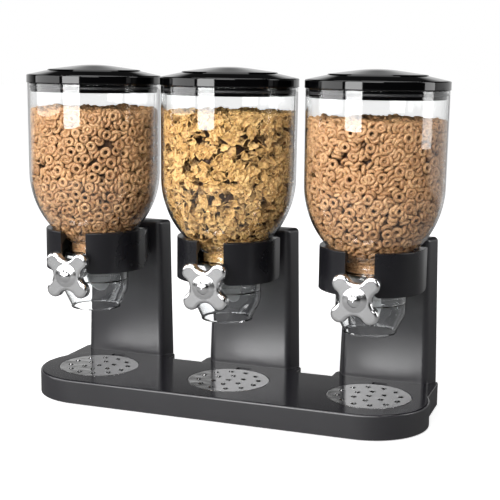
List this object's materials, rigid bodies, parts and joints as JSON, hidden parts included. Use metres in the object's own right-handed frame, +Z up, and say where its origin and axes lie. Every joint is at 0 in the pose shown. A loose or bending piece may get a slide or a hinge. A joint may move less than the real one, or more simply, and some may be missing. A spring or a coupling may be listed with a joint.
{
  "type": "cereal dispenser",
  "caption": "Row of clear canisters on a black stand, each with a chrome knob that turns a paddle wheel over a chute and a steel drip plate.",
  "frame": {"origin": "on the counter, midway across the width and the depth of the object", "axes": "+Z up, -Y towards the user and the knobs, +X to the right along the row of canisters"},
  "size_m": [0.4822, 0.1766, 0.383],
  "materials": {
    "black_gloss": "gloss",
    "black_satin": "satin",
    "black_plain": "fine matt",
    "clear_plastic": "clear gloss",
    "pale_silicone": "translucent satin",
    "black_silicone": "satin",
    "chrome": "mirror",
    "polished_steel": "polished",
    "screw_steel": "zinc plated",
    "foot_rubber": "matt"
  },
  "bodies": {
    "stand": {"base_shell": "black_gloss", "base_cover": "black_plain", "rubber_feet": "foot_rubber", "base_screws": "screw_steel", "column_screws": "screw_steel", "collar_screws": "screw_steel", "column_left": "black_satin", "column_back_left": "black_plain", "collar_left": "black_gloss", "column_middle": "black_satin", "column_back_middle": "black_plain", "collar_middle": "black_gloss", "column_right": "black_satin", "column_back_right": "black_plain", "collar_right": "black_gloss"},
    "canister_left": {"canister_left": "clear_plastic", "chamber_left": "clear_plastic", "chute_left": "clear_plastic"},
    "lid_left": {"lid_left": "black_gloss", "lid_seal_left": "black_silicone"},
    "wheel_left": {"paddle_wheel_left": "pale_silicone", "shaft_left": "black_plain", "knob_left": "chrome"},
    "plate_left": {"drip_plate_left": "polished_steel"},
    "canister_middle": {"canister_middle": "clear_plastic", "chamber_middle": "clear_plastic", "chute_middle": "clear_plastic"},
    "lid_middle": {"lid_middle": "black_gloss", "lid_seal_middle": "black_silicone"},
    "wheel_middle": {"paddle_wheel_middle": "pale_silicone", "shaft_middle": "black_plain", "knob_middle": "chrome"},
    "plate_middle": {"drip_plate_middle": "polished_steel"},
    "canister_right": {"canister_right": "clear_plastic", "chamber_right": "clear_plastic", "chute_right": "clear_plastic"},
    "lid_right": {"lid_right": "black_gloss", "lid_seal_right": "black_silicone"},
    "wheel_right": {"paddle_wheel_right": "pale_silicone", "shaft_right": "black_plain", "knob_right": "chrome"},
    "plate_right": {"drip_plate_right": "polished_steel"}
  },
  "joints": [
    {"name": "canister_lift_left", "type": "slide", "parent": "stand", "child": "canister_left", "axis": [0, 0, 1], "range_m": [0, 0.11]},
    {"name": "lid_lift_left", "type": "slide", "parent": "canister_left", "child": "lid_left", "axis": [0, 0, 1], "range_m": [0, 0.06]},
    {"name": "knob_turn_left", "type": "hinge", "parent": "canister_left", "child": "wheel_left", "pos_m": [-0.165, -0.00965, 0.151], "axis": [0, 1, 0], "continuous": true},
    {"name": "plate_lift_left", "type": "slide", "parent": "stand", "child": "plate_left", "axis": [0, 0, 1], "range_m": [0, 0.04]},
    {"name": "canister_lift_middle", "type": "slide", "parent": "stand", "child": "canister_middle", "axis": [0, 0, 1], "range_m": [0, 0.11]},
    {"name": "lid_lift_middle", "type": "slide", "parent": "canister_middle", "child": "lid_middle", "axis": [0, 0, 1], "range_m": [0, 0.06]},
    {"name": "knob_turn_middle", "type": "hinge", "parent": "canister_middle", "child": "wheel_middle", "pos_m": [0, -0.00965, 0.151], "axis": [0, 1, 0], "continuous": true},
    {"name": "plate_lift_middle", "type": "slide", "parent": "stand", "child": "plate_middle", "axis": [0, 0, 1], "range_m": [0, 0.04]},
    {"name": "canister_lift_right", "type": "slide", "parent": "stand", "child": "canister_right", "axis": [0, 0, 1], "range_m": [0, 0.11]},
    {"name": "lid_lift_right", "type": "slide", "parent": "canister_right", "child": "lid_right", "axis": [0, 0, 1], "range_m": [0, 0.06]},
    {"name": "knob_turn_right", "type": "hinge", "parent": "canister_right", "child": "wheel_right", "pos_m": [0.165, -0.00965, 0.151], "axis": [0, 1, 0], "continuous": true},
    {"name": "plate_lift_right", "type": "slide", "parent": "stand", "child": "plate_right", "axis": [0, 0, 1], "range_m": [0, 0.04]}
  ]
}
